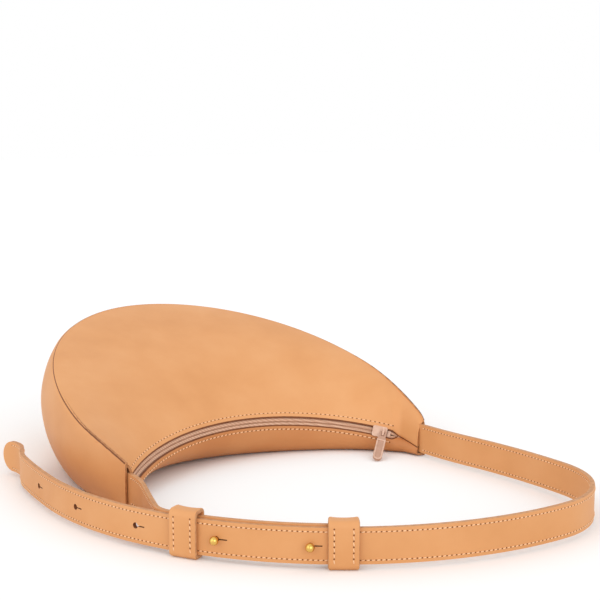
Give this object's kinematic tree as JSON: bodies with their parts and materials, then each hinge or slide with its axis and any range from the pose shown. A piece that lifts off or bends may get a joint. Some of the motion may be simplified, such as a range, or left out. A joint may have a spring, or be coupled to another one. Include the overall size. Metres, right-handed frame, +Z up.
{
  "type": "half moon bag",
  "caption": "Half moon leather shoulder bag with a curved zip on its hollow side, a deep gusset, and a strap joined by ball studs and held by sliding keepers.",
  "frame": {"origin": "on the flat underside of the back panel, on the plane of symmetry of the bag body", "axes": "+X along the line through the strap tips towards the zip slider's end, +Y towards the full round side, +Z up out of the back panel"},
  "size_m": [0.338, 0.4868, 0.111],
  "materials": {
    "leather": "smooth natural tan, satin",
    "zip_tape": "woven beige tape",
    "zip_coil": "beige coil",
    "zip_metal": "rose beige coat, satin",
    "brass": "polished"
  },
  "bodies": {
    "bag": {"front_panel": "leather", "gusset": "leather", "back_panel": "leather", "long_strap_outer_ply": "leather", "long_strap_inner_ply": "leather", "short_strap_inner_ply": "leather", "short_strap_outer_ply": "leather", "zip_tape_front": "zip_tape", "zip_tape_back": "zip_tape", "zip_coil_front": "zip_coil", "zip_coil_back": "zip_coil", "zip_stop_left": "zip_metal", "zip_stop_right": "zip_metal", "stud_1": "brass", "stud_2": "brass", "stud_screw_1": "brass", "stud_screw_2": "brass"},
    "zip_slider": {"zip_slider": "zip_metal"},
    "zip_pull": {"zip_pull": "zip_metal"},
    "keeper_left": {"keeper_left": "leather"},
    "keeper_right": {"keeper_right": "leather"},
    "strap_tail": {"strap_tail_outer_ply": "leather", "strap_tail_inner_ply": "leather"}
  },
  "joints": [
    {"name": "zip_slider_travel", "type": "hinge", "parent": "bag", "child": "zip_slider", "pos_m": [0, -0.23317, -0.01522], "axis": [0, -0.2689, 0.9632], "range_deg": [0, 87.5]},
    {"name": "zip_pull_swing", "type": "hinge", "parent": "zip_slider", "child": "zip_pull", "pos_m": [0.11688, -0.12471, 0.018], "axis": [0.7099, -0.6784, -0.1894], "range_deg": [-145, 1]},
    {"name": "keeper_left_slide", "type": "hinge", "parent": "bag", "child": "keeper_left", "pos_m": [0.06154, -0.12924, 0], "axis": [0, 0, 1], "range_deg": [-1.2, 1.7]},
    {"name": "keeper_right_slide", "type": "hinge", "parent": "bag", "child": "keeper_right", "pos_m": [0.06154, -0.12924, 0], "axis": [0, 0, 1], "range_deg": [-1.2, 18]},
    {"name": "strap_tail_swing", "type": "hinge", "parent": "bag", "child": "strap_tail", "pos_m": [-0.16186, -0.22885, 0], "axis": [0, 0, 1], "range_deg": [-4, 25]}
  ]
}
